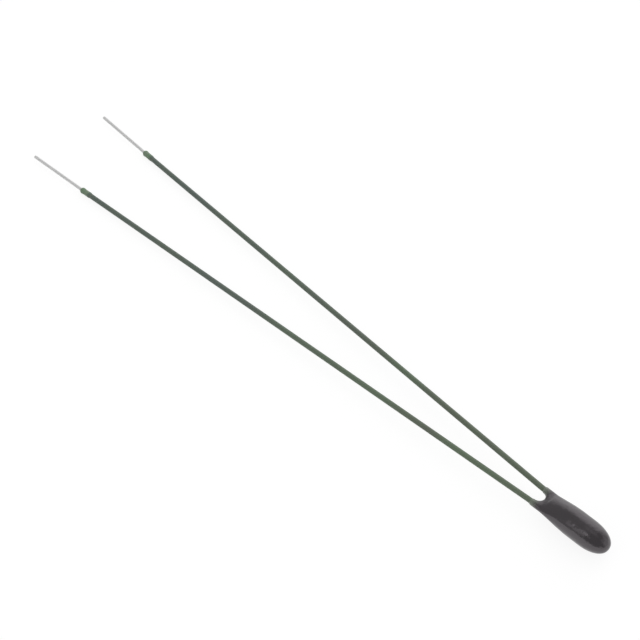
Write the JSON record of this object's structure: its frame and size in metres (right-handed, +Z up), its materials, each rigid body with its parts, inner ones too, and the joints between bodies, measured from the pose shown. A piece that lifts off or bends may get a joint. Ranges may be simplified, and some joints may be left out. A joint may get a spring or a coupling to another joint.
{
  "type": "radial leaded thermistor",
  "caption": "Slim dark epoxy head with a webbed neck on a splayed pair of thin green insulated wires with bare ends; senses temperature by its resistance.",
  "frame": {"origin": "on the floor that the part lies on, under the middle of its bounding box", "axes": "+X from the bare ends of the leads to the tip of the head, +Y across the leads, +Z up"},
  "size_m": [0.0618, 0.008, 0.0022],
  "materials": {
    "epoxy": "dipped dark grey epoxy, satin gloss",
    "insulation": "thin dark green extruded wire insulation, satin",
    "tinned_wire": "drawn and tinned solid copper, bright",
    "thermistor_ceramic": "sintered metal-oxide ceramic, matt, sawn edges",
    "silver_electrode": "fired silver paste, matt",
    "solder": "tin solder, dull bright"
  },
  "bodies": {
    "root": {"epoxy_head": "epoxy", "thermistor_chip": "thermistor_ceramic", "electrode_a": "silver_electrode", "electrode_b": "silver_electrode", "solder_a": "solder", "solder_b": "solder", "lead_wire_a": "tinned_wire", "lead_wire_b": "tinned_wire", "insulation_a": "insulation", "insulation_b": "insulation"}
  },
  "joints": []
}
